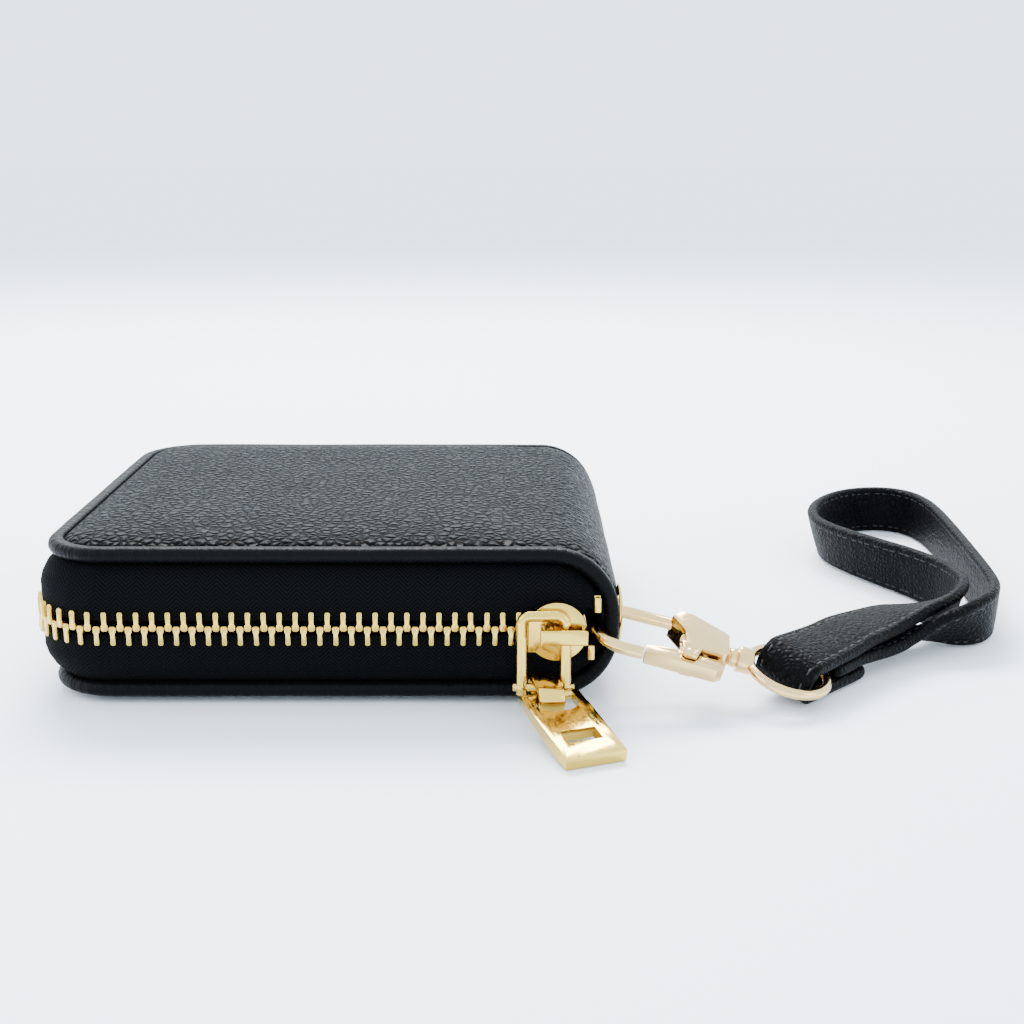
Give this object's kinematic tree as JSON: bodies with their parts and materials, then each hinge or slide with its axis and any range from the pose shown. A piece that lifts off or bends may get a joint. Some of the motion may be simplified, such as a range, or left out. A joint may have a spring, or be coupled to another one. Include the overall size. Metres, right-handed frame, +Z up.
{
  "type": "zip-around wristlet wallet",
  "caption": "Small zip-around wallet lying closed, with padded covers joined by a soft spine, a metal zip with a hanging puller, a zipped coin page inside and a strap on a swivel clasp.",
  "frame": {"origin": "middle of the wallet body's footprint, on the surface it lies on", "axes": "+X towards the spine, +Y away from the closed end of the zip, +Z up"},
  "size_m": [0.1846, 0.1468, 0.0292],
  "materials": {
    "leather": "black pebbled leather",
    "binding": "black leather edge binding",
    "strap_leather": "black pebbled leather, black edge paint",
    "tape": "black woven zip tape",
    "lining": "dark grey lining cloth",
    "pocket": "smooth thin black leather",
    "board": "grey-brown pressed fibre board",
    "gold": "polished pale gold plate",
    "gold_clasp": "polished light gold plate",
    "spring": "spring steel",
    "window": "clear plastic sheet"
  },
  "bodies": {
    "base": {"cover_bottom": "leather", "board_bottom": "board", "board_spine": "board", "lining_bottom": "lining", "binding_bottom": "binding", "zip_tape_lower": "tape", "zip_teeth_lower": "gold", "zip_stop_lower": "gold", "zip_bottom_stop": "gold", "eyelet": "gold", "card_panel_base": "pocket", "card_pocket_base_1": "pocket", "card_pocket_base_2": "pocket", "card_pocket_base_3": "pocket", "page_anchor": "pocket"},
    "lid": {"cover_top": "leather", "board_top": "board", "lining_top": "lining", "binding_top": "binding", "zip_tape_upper": "tape", "zip_teeth_upper": "gold", "zip_stop_upper": "gold", "card_panel_lid": "pocket", "card_pocket_lid_1": "pocket", "card_pocket_lid_2": "pocket", "id_window": "window", "id_frame": "pocket"},
    "page": {"page_flap": "pocket", "page_back": "pocket", "page_front": "pocket", "page_gusset": "lining", "coin_tape": "tape", "coin_teeth": "gold", "coin_stops": "gold"},
    "coin_slider": {"coin_slider": "gold"},
    "coin_pull": {"coin_pull": "gold"},
    "slider": {"slider_body": "gold", "slider_bridge": "gold", "slider_lock_pin": "gold"},
    "link": {"pull_link": "gold", "pull_pin": "gold"},
    "connector": {"pull_connector": "gold"},
    "puller": {"puller_plate": "gold"},
    "clasp": {"clasp_body": "gold_clasp", "gate_pin": "gold_clasp", "gate_spring": "spring"},
    "gate": {"clasp_gate": "gold_clasp"},
    "swivel": {"swivel_ring": "gold_clasp", "swivel_head": "gold_clasp"},
    "strap": {"strap": "strap_leather"}
  },
  "joints": [
    {"name": "lid_open", "type": "hinge", "parent": "base", "child": "lid", "pos_m": [0.04869, 0, 0.02145], "axis": [0, 1, 0], "range_deg": [0, 135]},
    {"name": "page_turn", "type": "hinge", "parent": "base", "child": "page", "pos_m": [0.043, 0, 0.0146], "axis": [0, 1, 0], "range_deg": [0, 67.5]},
    {"name": "slider_run", "type": "slide", "parent": "base", "child": "slider", "axis": [-1, 0, 0], "range_m": [0, 0.07], "deforming": ["zip_teeth_lower", "zip_teeth_upper"]},
    {"name": "pull_swing", "type": "hinge", "parent": "slider", "child": "link", "pos_m": [0.0368, -0.0499, 0.0178], "axis": [-1, 0, 0], "range_deg": [0, 6]},
    {"name": "connector_swing", "type": "hinge", "parent": "link", "child": "connector", "pos_m": [0.0368, -0.0499, 0.0052], "axis": [-1, 0, 0], "range_deg": [-60, 30]},
    {"name": "puller_swing", "type": "hinge", "parent": "connector", "child": "puller", "pos_m": [0.03765, -0.05358, 0.0048], "axis": [-0.9272, -0.3746, 0], "range_deg": [-40, 40]},
    {"name": "clasp_swing", "type": "hinge", "parent": "base", "child": "clasp", "pos_m": [0.0476, -0.0384, 0.0137], "axis": [0, -1, 0], "range_deg": [0, 20]},
    {"name": "gate_turn", "type": "hinge", "parent": "clasp", "child": "gate", "pos_m": [0.06148, -0.04699, 0.00892], "axis": [-0.2222, 0.2856, -0.9322], "range_deg": [0, 18], "stiffness_Nm_per_rad": 0.01, "springref_deg": -17.19},
    {"name": "swivel_turn", "type": "hinge", "parent": "clasp", "child": "swivel", "pos_m": [0.06854, -0.04316, 0.00841], "axis": [0.9689, -0.0423, -0.2439], "continuous": true},
    {"name": "strap_swing", "type": "hinge", "parent": "swivel", "child": "strap", "pos_m": [0.08297, -0.03954, 0.0057], "axis": [-0.7068, 0.6364, 0.309], "range_deg": [-18, 0]},
    {"name": "coin_slider_run", "type": "slide", "parent": "page", "child": "coin_slider", "axis": [-1, 0, 0], "range_m": [0, 0.052], "deforming": ["coin_teeth"]},
    {"name": "coin_pull_lift", "type": "hinge", "parent": "coin_slider", "child": "coin_pull", "pos_m": [0.024, 0.029, 0.02], "axis": [0, 1, 0], "range_deg": [0, 1.5]}
  ],
  "couplings": [
    {"joint": "page_turn", "follows": "lid_open", "ratio": 0.5}
  ]
}
